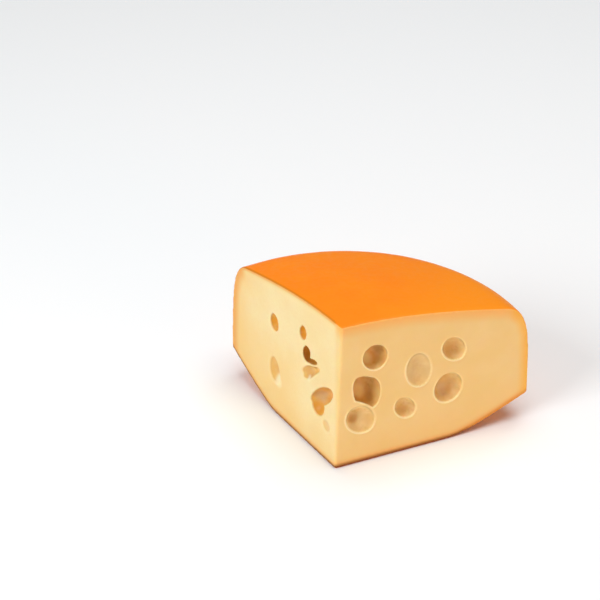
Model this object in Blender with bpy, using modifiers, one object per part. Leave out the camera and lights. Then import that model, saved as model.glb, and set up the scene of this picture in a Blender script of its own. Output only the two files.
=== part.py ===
"""A loose wedge cut from a full wheel of maasdam cheese.

One piece of food, so one solid: the domed orange-coated top, the barrelled rind, the
underside that lifts towards the rind, two knife cuts that meet in an upright edge, and the
round holes, which cheesemakers call eyes, that the knife opened on both cuts.

Metres, +Z up. The upright edge where the cuts meet points to -Y and the rind to +Y. The
origin is at the middle of the wedge's footprint, on the surface that it stands on.
"""
import math

import bmesh
import bpy
from mathutils import Matrix, Vector

MM = 0.001

# The wheel
WHEEL_RADIUS = 180.8 * MM          # at the widest ring, just over the corner
WHEEL_HEIGHT = 149.6 * MM          # at the wheel's middle
DOME_END = Vector((152.0, 128.1)) * MM      # radius and height where the dome turns over
DOME_END_SLOPE = 0.239             # how steeply the dome falls there
SIDE_TOP = Vector((179.5, 80.0)) * MM       # radius and height where the side begins
BOTTOM_CORNER = Vector((180.8, 29.0)) * MM  # radius and height of the corner over the skirt
CORNER_ROUND = 2.4 * MM
SKIRT_TOP = Vector((178.4, 27.9)) * MM      # the underside runs down from here
FLAT_RADIUS = 104.3 * MM           # the wheel stands on the flat inside this radius
SCREW_STEPS = 120

# The two knife cuts
CUT_ANGLE = 98.9                   # degrees between the cuts
EDGE_OFFSET = Vector((-6.2, -5.9, 0.0)) * MM   # foot of the upright edge, from the wheel's axis
EDGE_LEAN = Vector((6.9, 0.7, 0.0)) * MM       # how far the knife leaned over the full height
EDGE_ROUND = 2.0 * MM              # the soft paste rounds over at the upright edge
CUT_REACH = 1.6                    # the cutting sector's length, in wheel radii

# The eyes, in millimetres and degrees. Each is a ball that the cut opened: how far its middle
# is from the upright edge, its height, the long and short half widths of its opening, the
# slant of the long one from level, and how deep it goes behind the cut.
EYES = {
    "right": {
        "high_deep": (33.7, 110.5, 12.7, 11.4, -67.0, 17.0),
        "pressed_deep": (27.4, 75.5, 18.9, 12.3, -70.0, 22.0),
        "low_dish": (22.9, 47.9, 16.3, 12.9, -57.0, 7.0),
        "low_dish_pocket": (18.0, 49.5, 5.6, 4.8, 85.0, 10.5),
        "pale_dish": (76.8, 85.7, 18.2, 12.2, -80.0, 4.5),
        "far_round": (110.0, 98.3, 13.7, 10.1, -54.0, 10.0),
        "far_large": (107.3, 57.6, 15.3, 13.9, -97.0, 13.0),
        "middle_small": (65.8, 48.0, 12.2, 9.1, -51.0, 8.5),
    },
    "left": {
        "far_high": (107.5, 96.5, 8.6, 6.7, 82.0, 9.0),
        "high_small": (59.8, 111.9, 7.0, 5.3, -74.0, 9.0),
        "slit": (52.5, 93.7, 7.5, 5.8, -77.0, 17.0),
        "slit_tail": (43.5, 90.2, 9.0, 2.6, -21.0, 5.5),
        "ledge_dish": (46.0, 78.5, 17.0, 5.8, -36.0, 4.0),
        "far_teardrop": (104.6, 46.8, 13.3, 9.0, 78.0, 4.5),
        "long_deep": (26.0, 63.1, 22.3, 7.9, -40.0, 12.0),
        "long_lobe": (31.3, 51.2, 11.7, 9.6, -57.0, 8.5),
        "edge_dimple": (16.8, 37.4, 6.3, 6.0, 36.0, 1.6),
    },
}
# Openings that are far from oval: how many lobes, how large they are as a share of the half
# width, and how far round from the long way the first one is
LOBES = {
    "pressed_deep": ((3, 0.04, -86.0), (4, 0.03, 71.0)),
    "ledge_dish": ((3, 0.17, 170.0),),
    "far_teardrop": ((3, 0.05, -43.0),),
}
DENTED_EYE = "pressed_deep"
DENT = (17.0, 43.2, 39.0, 23.0, -41.0, 15.6)   # a ball of paste pushes up into it, given like an eye
EYE_UNEVENNESS = 0.02              # how far an eye is from a true ball, as a share of its radius
LARGE_BALL = 9.0 * MM              # a ball radius from which an eye takes more facets
LARGE_FACETS = (26, 6.5)           # facets round the opening, and from the deepest point to it
SMALL_FACETS = (22, 5.5)

PASTE_COLOUR = (0.90, 0.68, 0.30, 1.0)
PASTE_ROUGHNESS = 0.55


def clear_scene():
    for old in list(bpy.data.objects):
        bpy.data.objects.remove(old, do_unlink=True)


def new_collection(name):
    collection = bpy.data.collections.new(name)
    bpy.context.scene.collection.children.link(collection)
    return collection


def add_mesh_object(name, shape, collection, parent):
    """Turn a bmesh into an object and free the bmesh."""
    mesh = bpy.data.meshes.new(name)
    shape.to_mesh(mesh)
    shape.free()
    obj = bpy.data.objects.new(name, mesh)
    obj.parent = parent
    collection.objects.link(obj)
    return obj


def hide_as_cutter(obj):
    obj.hide_render = True
    obj.display_type = 'WIRE'


def paste_material():
    material = bpy.data.materials.new("maasdam_paste")
    material.use_nodes = True
    shader = material.node_tree.nodes["Principled BSDF"]
    shader.inputs["Base Color"].default_value = PASTE_COLOUR
    shader.inputs["Roughness"].default_value = PASTE_ROUGHNESS
    shader.inputs["Metallic"].default_value = 0.0
    return material


def bezier(start, start_handle, end_handle, end, count):
    """Points along a cubic curve, without its first one."""
    points = []
    for step in range(1, count + 1):
        t = step / count
        s = 1.0 - t
        points.append(start * s**3 + start_handle * 3 * s * s * t + end_handle * 3 * s * t * t + end * t**3)
    return points


def wheel_profile():
    """Half section of the wheel as (radius, height), from the top's middle to the base's."""
    middle = Vector((0.0, WHEEL_HEIGHT))
    down_dome = Vector((1.0, -DOME_END_SLOPE))
    points = [middle]
    points += bezier(middle, middle + Vector((50.0, 0.0)) * MM,
                     DOME_END - down_dome * 54.0 * MM, DOME_END, 8)
    points += bezier(DOME_END, DOME_END + down_dome * 8.0 * MM,
                     SIDE_TOP + Vector((-1.7, 45.0)) * MM, SIDE_TOP, 8)
    corner_above = BOTTOM_CORNER + Vector((0.0, CORNER_ROUND))
    points += bezier(SIDE_TOP, SIDE_TOP + Vector((0.8, -12.0)) * MM,
                     corner_above + Vector((0.0, 12.0)) * MM, corner_above, 4)
    points += bezier(corner_above, BOTTOM_CORNER, BOTTOM_CORNER, SKIRT_TOP, 3)
    flat_edge = Vector((FLAT_RADIUS, 0.0))
    points += bezier(SKIRT_TOP, SKIRT_TOP + Vector((-12.0, -5.6)) * MM,
                     flat_edge + Vector((15.0, 0.0)) * MM, flat_edge, 7)
    points.append(Vector((0.0, 0.0)))
    return points


def make_wheel(collection, parent):
    """The whole wheel, turned from its half section."""
    shape = bmesh.new()
    corners = [shape.verts.new((radius, 0.0, height)) for radius, height in wheel_profile()]
    for upper, lower in zip(corners, corners[1:]):
        shape.edges.new((upper, lower))
    wheel = add_mesh_object("cheese_wedge", shape, collection, parent)
    screw = wheel.modifiers.new("turned_wheel", 'SCREW')
    screw.axis = 'Z'
    screw.angle = math.tau
    screw.steps = SCREW_STEPS
    screw.render_steps = SCREW_STEPS
    screw.use_merge_vertices = True
    screw.merge_threshold = 0.00005
    screw.use_smooth_shade = True
    return wheel


def cut_direction(side):
    """Level direction along a cut, from the upright edge out to the rind."""
    half = math.radians(CUT_ANGLE / 2.0)
    sign = 1.0 if side == "right" else -1.0
    return Vector((sign * math.sin(half), math.cos(half), 0.0))


def up_the_cut():
    """The leaning way up both cuts, for each metre of height."""
    return EDGE_LEAN / WHEEL_HEIGHT + Vector((0.0, 0.0, 1.0))


def outward_normal(side):
    normal = cut_direction(side).cross(up_the_cut()).normalized()
    return normal if side == "right" else -normal


def make_cut_sector(collection, parent):
    """What the two cuts keep of the wheel: a leaning prism with a rounded upright edge."""
    far = WHEEL_RADIUS * CUT_REACH
    margin = 30.0 * MM
    right = cut_direction("right") * far
    left = cut_direction("left") * far
    beyond = Vector((0.0, far * 1.5, 0.0))
    shape = bmesh.new()
    rings = []
    for height in (-margin, WHEEL_HEIGHT + margin):
        foot = EDGE_OFFSET + up_the_cut() * height
        corners = (foot, foot + right, foot + beyond, foot + left)
        rings.append([shape.verts.new(corner) for corner in corners])
    lower, upper = rings
    shape.faces.new(list(reversed(lower)))
    shape.faces.new(upper)
    for index in range(4):
        following = (index + 1) % 4
        shape.faces.new((lower[index], lower[following], upper[following], upper[index]))
    upright = shape.edges.get((lower[0], upper[0]))
    bmesh.ops.bevel(shape, geom=[upright], offset=EDGE_ROUND, offset_type='OFFSET', segments=4,
                    profile=0.5, affect='EDGES', clamp_overlap=True)
    bmesh.ops.recalc_face_normals(shape, faces=shape.faces)
    sector = add_mesh_object("cut_sector", shape, collection, parent)
    hide_as_cutter(sector)
    return sector


def make_eye(side, name, numbers, index, collection, parent):
    """A slightly uneven ball, stretched so that its opening on the cut has the given outline."""
    along, height, long_half, short_half, slant, depth = numbers
    long_half *= MM
    short_half *= MM
    depth *= MM
    mean_half = math.sqrt(long_half * short_half)
    ball = (mean_half**2 + depth**2) / (2.0 * depth)
    centre_behind = depth - ball
    normal = outward_normal(side)
    level = cut_direction(side)
    upright = up_the_cut().normalized()
    upright = (upright - level * upright.dot(level)).normalized()
    turn = math.radians(slant)
    long_way = level * math.cos(turn) + upright * math.sin(turn)
    short_way = normal.cross(long_way)
    centre = EDGE_OFFSET + level * along * MM + up_the_cut() * height * MM - normal * centre_behind

    around, to_rim = LARGE_FACETS if ball > LARGE_BALL else SMALL_FACETS
    rim_angle = math.acos(1.0 - depth / ball)
    shape = bmesh.new()
    bmesh.ops.create_uvsphere(shape, u_segments=round(around * math.sqrt(long_half / short_half)),
                              v_segments=round(to_rim * math.pi / rim_angle), radius=1.0)
    for vertex in shape.verts:
        angle = math.atan2(vertex.co.y, vertex.co.x)
        uneven = 1.0 + EYE_UNEVENNESS * (
            0.6 * math.sin(2.0 * angle + 1.9 * index) + 0.4 * math.sin(3.0 * angle + 2.3 * index))
        for lobes, share, first in LOBES.get(name, ()):
            uneven += share * math.cos(lobes * angle - math.radians(first))
        vertex.co.x *= uneven
        vertex.co.y *= uneven
    stretch = Matrix.Diagonal((ball * long_half / mean_half, ball * short_half / mean_half, ball, 1.0))
    turned = Matrix((long_way, short_way, normal)).transposed().to_4x4()
    bmesh.ops.transform(shape, matrix=Matrix.Translation(centre) @ turned @ stretch, verts=shape.verts)
    eye = add_mesh_object(side + "_" + name, shape, collection, parent)
    hide_as_cutter(eye)
    return eye


def add_boolean(obj, name, operation, cutter):
    modifier = obj.modifiers.new(name, 'BOOLEAN')
    modifier.operation = operation
    modifier.object = cutter
    modifier.solver = 'EXACT'


def centre_on_footprint(wedge, frame):
    """Move everything so that the origin is under the middle of the wedge's box."""
    graph = bpy.context.evaluated_depsgraph_get()
    mesh = wedge.evaluated_get(graph).to_mesh()
    across = [vertex.co.x for vertex in mesh.vertices]
    deep = [vertex.co.y for vertex in mesh.vertices]
    middle = Vector((min(across) + max(across), min(deep) + max(deep), 0.0)) / 2.0
    wedge.evaluated_get(graph).to_mesh_clear()
    frame.location = -middle


def build():
    clear_scene()
    parts = new_collection("maasdam_wedge")
    cutters = new_collection("cutters")
    frame = bpy.data.objects.new("wheel_axis", None)
    parts.objects.link(frame)

    wedge = make_wheel(parts, frame)
    wedge.data.materials.append(paste_material())
    add_boolean(wedge, "knife_cuts", 'INTERSECT', make_cut_sector(cutters, frame))
    index = 0
    for side, eyes in EYES.items():
        for name, numbers in eyes.items():
            index += 1
            eye = make_eye(side, name, numbers, index, cutters, frame)
            if name == DENTED_EYE:
                dent = make_eye(side, "dent", DENT, index + 1, cutters, frame)
                add_boolean(eye, "dent", 'DIFFERENCE', dent)
            add_boolean(wedge, "eye_" + name, 'DIFFERENCE', eye)
    bpy.context.view_layer.update()
    centre_on_footprint(wedge, frame)


build()
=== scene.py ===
# The looks of a wedge of maasdam cheese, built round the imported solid.
import math

import bmesh
import bpy
import numpy as np
from mathutils import Euler, Matrix, Vector, noise
from mathutils.bvhtree import BVHTree


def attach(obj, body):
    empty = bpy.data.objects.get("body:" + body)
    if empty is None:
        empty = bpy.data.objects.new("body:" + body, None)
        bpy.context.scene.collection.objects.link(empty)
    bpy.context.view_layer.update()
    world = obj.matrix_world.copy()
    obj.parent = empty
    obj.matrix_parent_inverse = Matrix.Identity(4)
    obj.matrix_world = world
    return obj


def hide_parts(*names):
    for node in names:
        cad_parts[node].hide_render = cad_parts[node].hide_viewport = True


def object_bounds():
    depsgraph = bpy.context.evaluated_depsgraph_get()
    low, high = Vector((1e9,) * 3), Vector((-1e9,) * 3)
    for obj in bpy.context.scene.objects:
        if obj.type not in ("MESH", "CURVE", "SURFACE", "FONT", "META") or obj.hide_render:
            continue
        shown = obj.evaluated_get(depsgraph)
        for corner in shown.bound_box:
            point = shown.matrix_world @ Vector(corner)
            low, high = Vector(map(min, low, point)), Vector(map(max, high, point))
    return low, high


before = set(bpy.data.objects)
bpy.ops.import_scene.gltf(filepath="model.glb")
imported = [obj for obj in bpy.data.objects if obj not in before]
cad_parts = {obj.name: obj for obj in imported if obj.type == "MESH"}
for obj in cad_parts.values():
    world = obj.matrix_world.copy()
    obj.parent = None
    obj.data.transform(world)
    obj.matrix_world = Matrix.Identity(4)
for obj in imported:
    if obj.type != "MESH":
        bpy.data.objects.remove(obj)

cad_low, cad_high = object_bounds()

# Sizes in metres, and slopes and shares as parts of 1
MM = 0.001
WELD = 0.002 * MM
MESH_SPACING = 0.9 * MM         # side of the even mesh's squares
EDGE_ROUND = 2.0 * MM           # the solid's upright edge is rounded by this much
CUT_FLATNESS = 0.05 * MM        # a facet of a knife cut lies this close to the cut's plane
CUT_FRONT = 0.5                 # each knife cut faces the front by more than this,
CUT_SIDE = 0.3                  # and its own side by more than this
EDGE_SLOPE = 0.5                # the rounded edge where the cuts meet is steeper than this
TOP_SLOPE = 0.75                # the rind counts as top where its normal rises by more,
BASE_SLOPE = -0.3               # as underside where it falls by more, and as side between
REACH = 45.0 * MM               # distances are measured no further than this
SKIRT_CORNER = 28.5 * MM        # height of the corner over the skirt, which isn't smoothed,
SKIRT_CORNER_REACH = 5.0 * MM   # nor is what lies this near it
BURR_WAY = Vector((-0.75, 0.0, -0.66))      # the knife dragged the eyes' soft lips this way
BURR_REACH = 4.0 * MM           # how far from an eye its lip can be
BURR_RISE = (-0.45, 0.40)       # a lip grows as the way from the eye turns into the knife's
LIP_PLACE = 1.0 * MM            # how far from an eye its lip is highest,
LIP_WIDTH = 0.8 * MM            # and how wide it is
LIP_LOW = 0.09                  # its height in mm where the knife left none,
LIP_RISE = 0.46                 # and how much higher it is where the knife dragged it up
COAT_SHARE = 0.18               # the share of the coat's even triangles that its form needs,
PASTE_SHARE = 0.35              # and of the flat paste's
COAT_NEAR = 2.0 * MM            # what is this near to the rind is thinned as coat
CLEAR_OF_CUT = 5.0 * MM         # the coat keeps all its triangles this near to a cut,
CLEAR_OF_RIND = 5.0 * MM        # and the paste this near to the rind,
CLEAR_OF_EYE = 6.0 * MM         # and this near to an eye

# How the solid's facets are smoothed out: how far a point moves each time, and how many times
SMOOTH_ALL = (0.5, 3)
SMOOTH_COAT = (0.6, 120)
SMOOTH_WALLS = (0.5, 12)
SMOOTH_RIM = (0.5, 10)

# Waves in the surface: the height and size of each layer in mm, and the seed of its noise
COAT_WAVES = ((0.35, 46.0, 1), (0.12, 14.0, 2))
KNIFE_WAVES = ((0.10, 13.0, 3),)
KNIFE_STRETCH = (1.0, 1.0, 0.35)        # the knife came down, so its waves are long that way
WALL_WAVES = ((0.20, 9.0, 4), (0.06, 3.5, 5))
SEED_STEP = (3.7, 1.3, 2.9)             # each seed takes its noise from this much further on

# A point is on a surface in full nearer than the first distance, and not at all beyond the second
ON_RIND = (0.5 * MM, 1.5 * MM)
ON_CUT = (0.5 * MM, 1.2 * MM)
ON_WALL = (0.4 * MM, 1.0 * MM)
RIM = (1.0 * MM, 3.5 * MM)              # the sharp edge between rind and cut
SMOOTHED_DEPTH = 1.0 * MM               # the smoothing of coat and walls takes what is nearer
# Waves and smoothing begin at the first distance from another surface and are full at the second
WAVES_COAT_FROM_CUT = (1.0 * MM, 6.0 * MM)
WAVES_CUT_FROM_RIND = (1.0 * MM, 4.0 * MM)
WAVES_WALL_FROM_CUT = (1.0 * MM, 9.0 * MM)
SMOOTH_COAT_FROM_CUT = (1.5 * MM, 8.0 * MM)
SMOOTH_WALL_FROM_CUT = (1.5 * MM, 4.0 * MM)


def linear(hex_colour):
    """An sRGB hex colour as the linear colour that a shader takes."""
    values = [int(hex_colour[i:i + 2], 16) / 255.0 for i in (1, 3, 5)]
    return tuple(v / 12.92 if v <= 0.04045 else ((v + 0.055) / 1.055) ** 2.4 for v in values) + (1.0,)


def add_node(tree, kind, settings=None, inputs=None):
    """Add a node, set its properties, and give each input a link, a tone or a value."""
    node = tree.nodes.new("ShaderNode" + kind)
    for name, value in (settings or {}).items():
        setattr(node, name, value)
    for socket, value in (inputs or {}).items():
        if isinstance(value, bpy.types.NodeSocket):
            tree.links.new(value, node.inputs[socket])
        elif isinstance(value, str):
            node.inputs[socket].default_value = linear(value)
        else:
            node.inputs[socket].default_value = value
    return node


# The solid's own facets

def knife_planes(shape):
    """A point and the outward direction of each knife cut, from its largest facet."""
    planes = []
    for side in (1.0, -1.0):
        facing = [f for f in shape.faces if f.normal.y < -CUT_FRONT and f.normal.x * side > CUT_SIDE]
        largest = max(facing, key=lambda f: f.calc_area())
        planes.append((largest.verts[0].co.copy(), largest.normal.copy()))
    return planes


def is_cut(facet, planes):
    """True on either knife cut and on the rounded edge where the two meet."""
    gaps = [[abs((v.co - point).dot(normal)) for v in facet.verts] for point, normal in planes]
    if any(max(gap) < CUT_FLATNESS for gap in gaps):
        return True
    return abs(facet.normal.z) < EDGE_SLOPE and all(max(gap) < EDGE_ROUND for gap in gaps)


def joined_facets(start, allowed):
    """All allowed facets that can be reached from one without leaving them."""
    found = {start}
    waiting = [start]
    while waiting:
        facet = waiting.pop()
        for edge in facet.edges:
            for other in edge.link_faces:
                if other in allowed and other not in found:
                    found.add(other)
                    waiting.append(other)
    return found


def surface_trees(solid):
    """Search trees of the solid's rind and its three parts, knife cuts and eye walls."""
    shape = bmesh.new()
    shape.from_mesh(solid.data)
    bmesh.ops.remove_doubles(shape, verts=shape.verts, dist=WELD)
    shape.normal_update()
    planes = knife_planes(shape)
    cut = {f for f in shape.faces if is_cut(f, planes)}
    uncut = set(shape.faces) - cut
    rind = joined_facets(max(uncut, key=lambda f: f.calc_center_median().z), uncut)
    eyes = uncut - rind
    top = {f for f in rind if f.normal.z > TOP_SLOPE}
    base = {f for f in rind if f.normal.z < BASE_SLOPE}
    groups = {"rind": rind, "top": top, "base": base, "side": rind - top - base, "cut": cut, "eye": eyes}
    trees = {}
    for name, facets in groups.items():
        corners = [v.co.copy() for f in facets for v in f.verts]
        trees[name] = BVHTree.FromPolygons(corners, [(i, i + 1, i + 2) for i in range(0, len(corners), 3)])
    shape.free()
    return trees


# The fine mesh

def mesh_points(mesh):
    points = np.empty(len(mesh.vertices) * 3)
    mesh.vertices.foreach_get("co", points)
    return points.reshape(-1, 3)


def set_points(mesh, points):
    mesh.vertices.foreach_set("co", points.ravel())
    mesh.update()


def mesh_normals(mesh):
    normals = np.empty(len(mesh.vertices) * 3)
    mesh.vertex_normals.foreach_get("vector", normals)
    return normals.reshape(-1, 3)


def mesh_edges(mesh):
    edges = np.empty(len(mesh.edges) * 2, dtype=np.int64)
    mesh.edges.foreach_get("vertices", edges)
    return edges.reshape(-1, 2)


def apply_modifiers(obj):
    """Put what the object's modifiers make in place of its mesh."""
    graph = bpy.context.evaluated_depsgraph_get()
    made = bpy.data.meshes.new_from_object(obj.evaluated_get(graph))
    obj.modifiers.clear()
    obj.data = made


def gaps_to(points, tree):
    """Each point's distance to a surface, no more than REACH."""
    found = np.full(len(points), REACH)
    for index, point in enumerate(points):
        gap = tree.find_nearest(Vector(point), REACH)[3]
        if gap is not None:
            found[index] = gap
    return found


def lit_side_burr(points, gaps, eyes):
    """How much of a lip the knife left at each point: 1 on one side of an eye, little on the other."""
    share = np.zeros(len(points))
    for index in np.flatnonzero(gaps["eye"] < BURR_REACH):
        point = Vector(points[index])
        away = point - eyes.find_nearest(point)[0]
        share[index] = away.normalized().dot(BURR_WAY)
    return fade(share, *BURR_RISE)


def smoothed(points, edges, weight, rounds):
    """Move each point towards the middle of its neighbours, by its own weight, several times."""
    first, second = edges.T
    count = np.bincount(edges.ravel(), minlength=len(points))[:, None]
    points = points.copy()
    for _ in range(rounds):
        middle = np.stack([np.bincount(first, points[second, k], len(points))
                           + np.bincount(second, points[first, k], len(points)) for k in range(3)], 1)
        points += weight[:, None] * (middle / count - points)
    return points


def fade(values, low, high):
    """0 below low, 1 above high, smooth between."""
    t = np.clip((values - low) / (high - low), 0.0, 1.0)
    return t * t * (3.0 - 2.0 * t)


def near(values, full, none):
    """1 below full, 0 above none, smooth between."""
    return fade(-values, -none, -full)


def bumps(points, size, seed):
    """Smooth noise from -1 to 1 at each point, with features about size across."""
    shift = Vector([seed * step for step in SEED_STEP])
    return np.array([noise.noise(Vector(p) / size + shift) for p in points])


def waves(points, layers):
    """The height of the surface's waves at each point, in mm."""
    return sum(height * bumps(points, size * MM, seed) for height, size, seed in layers)


def relief(points, gaps, lip_share):
    """How far the surface stands out of the plain solid at each point."""
    on_coat = fade(gaps["cut"], *WAVES_COAT_FROM_CUT) * near(gaps["rind"], *ON_RIND)
    on_cut = near(gaps["cut"], *ON_CUT) * fade(gaps["rind"], *WAVES_CUT_FROM_RIND)
    in_eye = near(gaps["eye"], *ON_WALL) * fade(gaps["cut"], *WAVES_WALL_FROM_CUT)
    coat = on_coat * waves(points, COAT_WAVES)
    knife = on_cut * waves(points * KNIFE_STRETCH, KNIFE_WAVES)
    lip_height = LIP_LOW + LIP_RISE * lip_share
    lip = on_cut * lip_height * np.exp(-((gaps["eye"] - LIP_PLACE) / LIP_WIDTH) ** 2)
    wall = in_eye * waves(points, WALL_WAVES)
    return (coat + knife + lip + wall) * MM


def add_attribute(mesh, name, values):
    made = mesh.attributes.new(name, 'FLOAT', 'POINT')
    made.data.foreach_set("value", values.astype(np.float32))


def thin_out(piece, spare, share):
    """Keep only a share of the triangles at the spare points."""
    group = piece.vertex_groups.new(name="spare")
    group.add(np.flatnonzero(spare).tolist(), 1.0, 'REPLACE')
    thin = piece.modifiers.new("thin_out", 'DECIMATE')
    thin.ratio = 1.0 - (1.0 - share) * np.mean(spare)
    thin.vertex_group = group.name
    thin.vertex_group_factor = 1.0
    apply_modifiers(piece)
    piece.vertex_groups.clear()


def measured(mesh, trees, names=("rind", "cut", "eye")):
    """The mesh's points and their distances to the named surfaces."""
    points = mesh_points(mesh)
    return points, {name: gaps_to(points, trees[name]) for name in names}


def rebuild_evenly(piece):
    """Give the piece a mesh of small even squares, which can take relief everywhere."""
    even = piece.modifiers.new("even_mesh", 'REMESH')
    even.mode = 'VOXEL'
    even.voxel_size = MESH_SPACING
    apply_modifiers(piece)


def smooth_facets(points, gaps, edges):
    """Round the solid's facets off on coat and eye walls, and its sharp edge round both cuts."""
    share, rounds = SMOOTH_ALL
    points = smoothed(points, edges, np.full(len(points), share), rounds)
    skirt_corner = np.exp(-((points[:, 2] - SKIRT_CORNER) / SKIRT_CORNER_REACH) ** 2)
    coat = fade(gaps["cut"], *SMOOTH_COAT_FROM_CUT) * (gaps["rind"] < SMOOTHED_DEPTH) * (1.0 - skirt_corner)
    walls = fade(gaps["cut"], *SMOOTH_WALL_FROM_CUT) * (gaps["eye"] < SMOOTHED_DEPTH)
    rim = near(gaps["rind"], *RIM) * near(gaps["cut"], *RIM)
    for zone, (share, rounds) in ((coat, SMOOTH_COAT), (walls, SMOOTH_WALLS), (rim, SMOOTH_RIM)):
        points = smoothed(points, edges, share * zone, rounds)
    return points


def store_distances(mesh, trees):
    """Keep on the mesh, in mm, the distances that the material goes by.

    They are those to the top, the side and the underside of the rind, how much nearer a cut is
    than the rind, and how deep a point lies in an eye. The share of lip is kept with them.
    """
    points, gaps = measured(mesh, trees, tuple(trees))
    for name in ("top", "side", "base"):
        add_attribute(mesh, "under_" + name, gaps[name] / MM)
    add_attribute(mesh, "cut_side", (gaps["rind"] - gaps["cut"]) / MM)
    add_attribute(mesh, "into_eye", (gaps["cut"] - gaps["eye"]) / MM)
    add_attribute(mesh, "lit_side_burr", lit_side_burr(points, gaps, trees["eye"]))


def make_wedge(solid):
    """The wedge's fine surface, with the solid's form."""
    trees = surface_trees(solid)
    piece = bpy.data.objects.new("maasdam_wedge", solid.data.copy())
    bpy.context.scene.collection.objects.link(piece)
    rebuild_evenly(piece)
    mesh = piece.data
    points, gaps = measured(mesh, trees)
    points = smooth_facets(points, gaps, mesh_edges(mesh))
    set_points(mesh, points)
    lip_share = lit_side_burr(points, gaps, trees["eye"])
    points += mesh_normals(mesh) * relief(points, gaps, lip_share)[:, None]
    points[:, 2] = np.maximum(points[:, 2], 0.0)        # the underside stays flat
    set_points(mesh, points)
    thin_out(piece, (gaps["cut"] > CLEAR_OF_CUT) & (gaps["rind"] < COAT_NEAR), COAT_SHARE)
    points, gaps = measured(piece.data, trees)
    thin_out(piece, (gaps["eye"] > CLEAR_OF_EYE) & (gaps["rind"] > CLEAR_OF_RIND), PASTE_SHARE)

    mesh = piece.data
    store_distances(mesh, trees)
    mesh.shade_smooth()
    mesh.materials.clear()
    mesh.materials.append(maasdam_material())
    return piece


# Materials

# A tone is laid over others in zones. A zone says what it goes by, the value where it begins and
# the value where it is full, then its strength where it is full, if that isn't 1, and where it
# begins, if that isn't 0. Distances and places are in mm. A tone that has several zones is as
# strong as their product.
RIGHT_CUT = ("across", -7.0, -1.0)
LEFT_CUT = ("across", -1.0, -7.0)
BROAD = ("broad_clouds", 0.3, 0.7)
MOTTLE = ("wall_clouds", 0.3, 0.7)
INSIDE_EYE = ("into_eye", -0.2, 2.0)
ON_PASTE = ("cut_side", -0.3, 0.3)
RIND_BAND = 0.88                # the strength of the bands of tone along the rind
PATCHY = (0.54, 0.72)           # where noise begins to leave a patch, and where the patch is full
SPOT_CORE = 0.3                 # a spot has its full share out to this part of its reach

# Noise: the size of its features in mm, and its detail. The pores and the grain are really under
# half a millimetre, and are drawn as coarse as they need to be to show.
CLOUDS = {
    "broad_clouds": (38.0, 2.0),
    "fine_clouds": (2.2, 3.0),
    "wall_clouds": (9.0, 1.5),
    "painted_sheen_patches": (5.0, 2.0),
    "brown_patches": (7.5, 2.0),
    "olive_patches": (4.0, 2.0),
    "coat_clouds": (30.0, 3.0),
    "scuffs": (7.0, 5.0),
    "rubbing": (24.0, 6.0),
    "coat_sheen": (5.0, 3.0),
    "paste_sheen": (3.0, 3.0),
    "coat_pores": (6.0, 4.0),
    "paste_grain": (1.6, 4.0),
}
CLOUD_ROUGHNESS = 0.55          # how strong the finer layers of noise are

# The cut paste: it deepens towards the rind, has painted shade on the right cut, and has painted highlights
# on the lips round the eyes
# The right cut's paste is a little darker than the left's: painted shade, as that cut is turned from the
# key light
SHADED_RIGHT_PASTE = ("#F4D289", (("#F6D692", BROAD),))
CUT_PASTE = ("#F6DA9D", (
    ("#F9E1A9", BROAD),
    (SHADED_RIGHT_PASTE, RIGHT_CUT),
    ("#F2D090", ("fine_clouds", 0.35, 0.75, 0.25)),
    # The paste deepens slowly towards the side and the underside
    ("#F6C97A", ("under_side", 44.0, 5.0, 0.65), LEFT_CUT),
    ("#F6C97A", ("under_base", 44.0, 5.0, 0.38)),
    ("#F6C97A", ("height", 100.0, 45.0, 0.50), ("across", -35.0, -70.0)),
    # Bands along the rind, on the left cut and then on the right one
    ("#F4D48E", ("under_top", 7.0, 2.0, RIND_BAND), LEFT_CUT),
    ("#EEAA58", ("under_top", 3.6, 0.9, RIND_BAND), LEFT_CUT),
    ("#B87020", ("under_top", 1.3, 0.3, RIND_BAND), LEFT_CUT),
    ("#F2B055", ("under_base", 9.5, 2.0, RIND_BAND), LEFT_CUT),
    ("#F0A548", ("under_side", 15.0, 3.0, RIND_BAND), LEFT_CUT),
    ("#FAB861", ("under_top", 15.0, 0.6, RIND_BAND), RIGHT_CUT),
    ("#F1A94E", ("under_base", 10.0, 2.0, RIND_BAND), RIGHT_CUT),
    ("#FFBE48", ("under_side", 12.0, 1.5, RIND_BAND), RIGHT_CUT),
    # The lips: a painted highlight round the eyes, strongest on the right cut and on each eye's lower left
    # side, where the rim catches the key light
    ("#FFE8B0", ("into_eye", -1.8, -0.8), ("across", -7.0, -1.0, 1.0, 0.2), ("lit_side_burr", 0.0, 1.0, 1.0, 0.18)),
))

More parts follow.
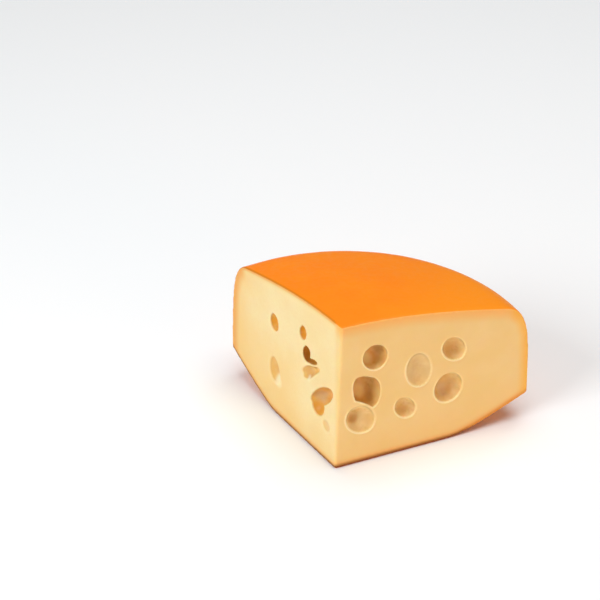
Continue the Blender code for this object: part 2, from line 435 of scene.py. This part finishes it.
# The eyes' walls: painted shade just inside the rim and in the depth, and painted light and shade by the
# way that they face
RIGHT_WALL = ("#FADFA2", (("#F2D088", MOTTLE),))
DEEP_WALL_SHADE = ("#E4961C", (("#E6BC76", RIGHT_CUT),))
EYE_WALL = ("#F7C868", (
    ("#F0B346", MOTTLE),
    (RIGHT_WALL, RIGHT_CUT),
    # Painted shade: a brown line just inside the rim of the left cut's eyes, and the darker, more orange
    # tone of the depth
    ("#B0782C", ("into_eye", 0.3, 1.2), ("into_eye", 2.6, 1.0, 0.35), LEFT_CUT),
    (DEEP_WALL_SHADE, ("into_eye", 5.0, 16.0, 0.5)),
    # Painted light and shade by the way that the wall faces, on the right cut: painted light where it faces
    # left, towards the key light, and painted shade where it faces right, on its floor, and on its roof by
    # the rim
    ("#FFCE80", ("facing_right", -0.2, -0.7, 0.9), RIGHT_CUT),
    ("#BC9850", ("facing_right", 0.25, 0.85, 0.15), RIGHT_CUT),
    ("#E8BC74", ("facing_up", 0.0, 0.6, 0.5), RIGHT_CUT),
    ("#8E6A2A", ("facing_up", 0.2, -0.4), ("into_eye", 4.5, 1.0, 0.45), RIGHT_CUT),
    # Brown and olive patches where the wall is drier or moister, and pale patches of painted sheen
    ("#EACB9C", ("painted_sheen_patches", *PATCHY, 0.25)),
    ("#D48E54", ("brown_patches", *PATCHY, 0.28)),
    ("#CCA84C", ("olive_patches", *PATCHY, 0.25)),
))

# The coat: a little yellower to the right, as painted light where the lamps light the top less, then
# scuffed, and rubbed pale on the side that is handled
COAT = ("#FF8600", (
    ("#FF8B03", ("coat_clouds", 0.35, 0.7)),
    ("#FF9306", ("across", 0.0, 100.0)),
    ("#FF9A20", ("scuffs", 0.62, 0.78, 0.25)),
    ("#C87400", ("cut_side", -3.6, -0.4, 0.9), LEFT_CUT),
    ("#FFAC48", ("rubbing", 0.48, 0.75, 0.35), ("under_side", 4.0, 0.5)),
))

# The dark lines where the paste ends at the side and at the underside. The underside's line is partly the
# coat's cut edge and partly painted shadow where the wedge meets the floor, wider and darker on the right
# cut, and orange where the skirt lifts from the floor
SIDE_LINE = ("#D0802E", ("under_side", 2.0, 0.8, 0.7), LEFT_CUT)
RIGHT_CRUST_AND_SHADOW = ("#8A4A12", (("#E4983A", ("height", 3.0, 10.0)),))
BASE_LINE_AND_SHADOW = ("#8E4E1A", ((RIGHT_CRUST_AND_SHADOW, RIGHT_CUT),))
BASE_LINE_AND_SHADOW_BEGINS = ("across", -7.0, -1.0, 6.5, 5.4)     # the painted shadow reaches deeper into the paste on the right cut
BASE_LINE_AND_SHADOW_FULL = 1.4

# Where an eye's wall has a tone of its own, which in many places is painted light and shade as well as the
# wall's own colour: the place and how far it reaches, in mm, the share that its tone has in the middle, and
# the tone
WALL_TONES = (
    ((15, -63, 102), 8, 0.90, "#FFF0BC"),       # the left wall of the high hole, painted light where the lamps leave it dim
    ((24, -56, 111), 8, 0.40, "#A47430"),       # and painted shade on the wall under its upper edge
    ((7, -61, 65), 9, 0.90, "#FFEEBA"),         # the left wall of the tall hole, painted light
    ((26, -62, 66), 10, 0.85, "#FFDE90"),       # and its right wall, painted light
    ((13, -72, 41), 8, 0.60, "#FFE4A8"),        # the left of the low dish
    ((21, -70, 44), 9, 0.55, "#E4B86C"),        # its right
    ((7, -75, 45), 6, 0.50, "#DEB67A"),         # and painted shade in the pocket in it
    ((71, -17, 50), 9, 0.60, "#E8D4AE"),        # the near wall of the large far eye
    ((79, -13, 49), 8, 0.45, "#FFD496"),        # and its middle
    ((58, -40, 85), 26, 0.60, "#E6C484"),       # the pale dish
    ((65, -35, 80), 10, 0.40, "#D8B478"),       # and its right
    ((-22, -68, 65), 22, 0.60, "#E0A868"),      # the long eye
    ((-25, -63, 55), 10, 0.60, "#CEAC84"),      # its middle
    ((-28, -67, 43), 11, 0.70, "#E2952A"),      # and its lobe
    ((-37, -55, 86), 12, 0.45, "#A0620A"),      # the slit, painted shade in its depth
    ((-31, -64, 88), 7, 0.65, "#A06C22"),       # and painted shade at the end of its tail
    ((-37, -59, 75), 12, 0.60, "#DCA868"),      # the dish under the slit
    ((-79, -24, 49), 24, 0.55, "#E4B676"),      # the shallow teardrop
    ((-13, -83, 39), 14, 0.90, "#EFCA8C"),      # the faint dimple by the upright edge
)
# Painted light on the lit lower ends of two shallow dishes, given in the same way
LIT_DISH_ENDS = (
    ((-35, -60, 69), 5, 0.85, "#FFF2D0"),       # the lower corner of the dish
    ((-76, -28, 38), 9, 0.85, "#FFF0C0"),       # the lower end of the teardrop
)

# The finish: roughness, what the eyes take off it, and the light inside the paste, as zones
COAT_ROUGHNESS = ("coat_sheen", 0.3, 0.7, 0.56, 0.42)
CUT_ROUGHNESS = ("paste_sheen", 0.3, 0.7, 0.58, 0.48)
EYE_GLOSS = ("into_eye", 0.0, 1.5, -0.20)
PASTE_GLOW = (*ON_PASTE, 0.35)
GLOW_COLOURS = (1.0, 0.5, 0.18)         # red light goes furthest in the paste, blue the least,
GLOW_DEPTH = 4.0 * MM                   # and this is how far the red goes
PORE_SHARE = 0.18                       # how much of the pores' and the grain's relief shows
PORE_DEPTH = 0.25 * MM
SATIN_SPECULAR = 0.3
FAT_IOR = 1.46                          # about that of milk fat, and of the plastic coat


def wedge_measures(tree):
    """What the zones go by: the distances on the mesh, the place, the facing and the noise."""
    metres = add_node(tree, "TexCoord").outputs["Object"]
    place = add_node(tree, "VectorMath", {"operation": 'SCALE'}, {0: metres, "Scale": 1.0 / MM})
    place = place.outputs["Vector"]
    spot = add_node(tree, "SeparateXYZ", {}, {"Vector": place}).outputs
    normal = add_node(tree, "NewGeometry").outputs["Normal"]
    facing = add_node(tree, "SeparateXYZ", {}, {"Vector": normal}).outputs
    measures = {"place": place, "across": spot["X"], "height": spot["Z"],
                "facing_right": facing["X"], "facing_up": facing["Z"]}
    for name in ("under_top", "under_side", "under_base", "cut_side", "into_eye", "lit_side_burr"):
        measures[name] = add_node(tree, "Attribute", {"attribute_name": name}).outputs["Fac"]
    for name, (size, detail) in CLOUDS.items():
        inputs = {"Vector": place, "Scale": 1.0 / size, "Detail": detail, "Roughness": CLOUD_ROUGHNESS}
        measures[name] = add_node(tree, "TexNoise", {}, inputs).outputs["Fac"]
    return measures


def zone_strength(tree, measures, by, begin, full, strength=1.0, start=0.0):
    """How strong a zone is at each point, going by a measure or by the distance from a place."""
    if isinstance(by, tuple):
        away = add_node(tree, "VectorMath", {"operation": 'DISTANCE'}, {0: measures["place"], 1: by})
        value = away.outputs["Value"]
    else:
        value = measures[by]
    ends = {"Value": value, "From Min": begin, "From Max": full, "To Min": start, "To Max": strength}
    return add_node(tree, "MapRange", {"interpolation_type": 'SMOOTHSTEP'}, ends).outputs["Result"]


def layered(tree, measures, ground, layers):
    """A tone with others laid over it, each in its zones. Any of them may be layered itself."""
    colour = ground
    for tone, *zones in layers:
        if isinstance(tone, tuple):
            tone = layered(tree, measures, *tone)
        share = 1.0
        for zone in zones:
            factors = {0: share, 1: zone_strength(tree, measures, *zone)}
            share = add_node(tree, "Math", {"operation": 'MULTIPLY'}, factors).outputs[0]
        colour = add_node(tree, "Mix", {"data_type": 'RGBA'}, {0: share, 6: colour, 7: tone}).outputs[2]
    return colour


def spot_layers(spots):
    """Layers for tones that each lie round one place."""
    return [(tone, (place, reach, SPOT_CORE * reach, share)) for place, reach, share, tone in spots]


def maasdam_material():
    """Semi-hard cheese: a satin orange coat painted on the wheel, and moist paste where it is cut.

    The coat is a brushed-on plastic dressing, so the eye sees even, strong orange with soft
    highlights and a thin dark line where the knife went through it. The paste is fatty and
    slightly see-through: pale yellow, deeper and more orange towards the rind, glossy and
    darker in the eyes, with painted shade in their depth and painted light and shade on their
    walls, and with painted highlights on the soft lips round them. The right cut has painted
    shade, and the paste has painted shadow where it meets the floor.
    """
    material = bpy.data.materials.new("maasdam_coat_and_paste")
    material.use_nodes = True
    tree = material.node_tree
    shader = tree.nodes["Principled BSDF"]
    measures = wedge_measures(tree)
    wall = layered(tree, measures, *EYE_WALL)
    wall = layered(tree, measures, wall, spot_layers(WALL_TONES))
    paste = layered(tree, measures, *CUT_PASTE)
    paste = layered(tree, measures, paste, [(wall, INSIDE_EYE)] + spot_layers(LIT_DISH_ENDS))
    base_line_and_shadow_begins = zone_strength(tree, measures, *BASE_LINE_AND_SHADOW_BEGINS)
    base_line_and_shadow_zone = ("under_base", base_line_and_shadow_begins, BASE_LINE_AND_SHADOW_FULL)
    paste = layered(tree, measures, paste, [SIDE_LINE, (BASE_LINE_AND_SHADOW, base_line_and_shadow_zone)])
    coat = layered(tree, measures, *COAT)
    colour = layered(tree, measures, coat, [(paste, ON_PASTE)])
    tree.links.new(colour, shader.inputs["Base Color"])
    add_finish(tree, measures, shader)
    return material


def add_finish(tree, measures, shader):
    """A satin coat with shallow pores, and finer grained paste, glossier in its eyes, that glows."""
    on_paste = zone_strength(tree, measures, *ON_PASTE)
    coat_rough = zone_strength(tree, measures, *COAT_ROUGHNESS)
    cut_rough = zone_strength(tree, measures, *CUT_ROUGHNESS)
    eye_gloss = zone_strength(tree, measures, *EYE_GLOSS)
    paste_rough = add_node(tree, "Math", {"operation": 'ADD'}, {0: cut_rough, 1: eye_gloss}).outputs[0]
    numbers = {"data_type": 'FLOAT'}
    rough = add_node(tree, "Mix", numbers, {0: on_paste, 2: coat_rough, 3: paste_rough}).outputs[0]
    tree.links.new(rough, shader.inputs["Roughness"])
    both_grains = {0: on_paste, 2: measures["coat_pores"], 3: measures["paste_grain"]}
    height = add_node(tree, "Mix", numbers, both_grains).outputs[0]
    bump = add_node(tree, "Bump", {}, {"Height": height, "Strength": PORE_SHARE, "Distance": PORE_DEPTH})
    tree.links.new(bump.outputs["Normal"], shader.inputs["Normal"])
    glow = zone_strength(tree, measures, *PASTE_GLOW)
    tree.links.new(glow, shader.inputs["Subsurface Weight"])
    shader.inputs["Subsurface Radius"].default_value = GLOW_COLOURS
    shader.inputs["Subsurface Scale"].default_value = GLOW_DEPTH
    shader.inputs["Specular IOR Level"].default_value = SATIN_SPECULAR
    shader.inputs["IOR"].default_value = FAT_IOR


def studio_floor_material():
    """Seamless paper roll: matt and nearly white, so only soft shade shows on it."""
    material = bpy.data.materials.new("matt_paper_floor")
    material.use_nodes = True
    shader = material.node_tree.nodes["Principled BSDF"]
    shader.inputs["Base Color"].default_value = linear("#F8FAFB")
    shader.inputs["Roughness"].default_value = 0.9
    shader.inputs["Specular IOR Level"].default_value = 0.1
    return material


# Studio

CAMERA_PLACE = Vector((0.4593, -1.5777, 1.1734))
CAMERA_YAW = -18.369            # degrees, from looking along +Y
CAMERA_PITCH = -32.630
CAMERA_ROLL = -1.167
CAMERA_LENS = 132.02            # mm
SENSOR_WIDTH = 36.0             # mm

# Soft lights: name, place and side length in metres, power in watts, and tone
SOFT_LIGHTS = (
    ("key_left", (-1.25, -1.95, 1.65), 1.3, 39.0, "#FFFFFF"),
    ("warm_fill_right", (1.9, -1.2, 0.3), 0.55, 9.5, "#FFA850"),
    ("top", (0.25, 0.15, 2.6), 2.0, 46.0, "#FFFFFF"),
)
SURROUND_TONE = "#FFFFFF"
SURROUND_STRENGTH = 0.22
FLOOR_SIZE = 12.0               # metres


def make_camera():
    data = bpy.data.cameras.new("camera")
    data.lens = CAMERA_LENS
    data.sensor_width = SENSOR_WIDTH
    camera = bpy.data.objects.new("camera", data)
    bpy.context.scene.collection.objects.link(camera)
    aim = Euler((math.radians(90.0 + CAMERA_PITCH), 0.0, -math.radians(CAMERA_YAW))).to_matrix().to_4x4()
    roll = Matrix.Rotation(math.radians(CAMERA_ROLL), 4, 'Z')
    camera.matrix_world = Matrix.Translation(CAMERA_PLACE) @ aim @ roll
    bpy.context.scene.camera = camera


def make_soft_light(name, place, size, power, colour):
    """A square softbox aimed at the middle of the wedge."""
    data = bpy.data.lights.new(name, 'AREA')
    data.shape = 'SQUARE'
    data.size = size
    data.energy = power
    data.color = linear(colour)[:3]
    light = bpy.data.objects.new(name, data)
    bpy.context.scene.collection.objects.link(light)
    light.location = place
    target = (cad_low + cad_high) / 2.0
    light.rotation_euler = (target - Vector(place)).to_track_quat('-Z', 'Y').to_euler()


def make_studio():
    scene = bpy.context.scene
    scene.view_settings.view_transform = 'Standard'
    scene.view_settings.look = 'None'
    world = bpy.data.worlds.new("studio")
    scene.world = world
    world.use_nodes = True
    surround = world.node_tree.nodes["Background"]
    surround.inputs["Color"].default_value = linear(SURROUND_TONE)
    surround.inputs["Strength"].default_value = SURROUND_STRENGTH
    for light in SOFT_LIGHTS:
        make_soft_light(*light)
    bpy.ops.mesh.primitive_plane_add(size=FLOOR_SIZE, location=(0.0, 0.0, 0.0))
    floor = bpy.context.object
    floor.name = "floor"
    floor.data.materials.append(studio_floor_material())


make_camera()
wedge = make_wedge(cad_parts["cheese_wedge"])
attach(wedge, "root")
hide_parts("cheese_wedge")
make_studio()
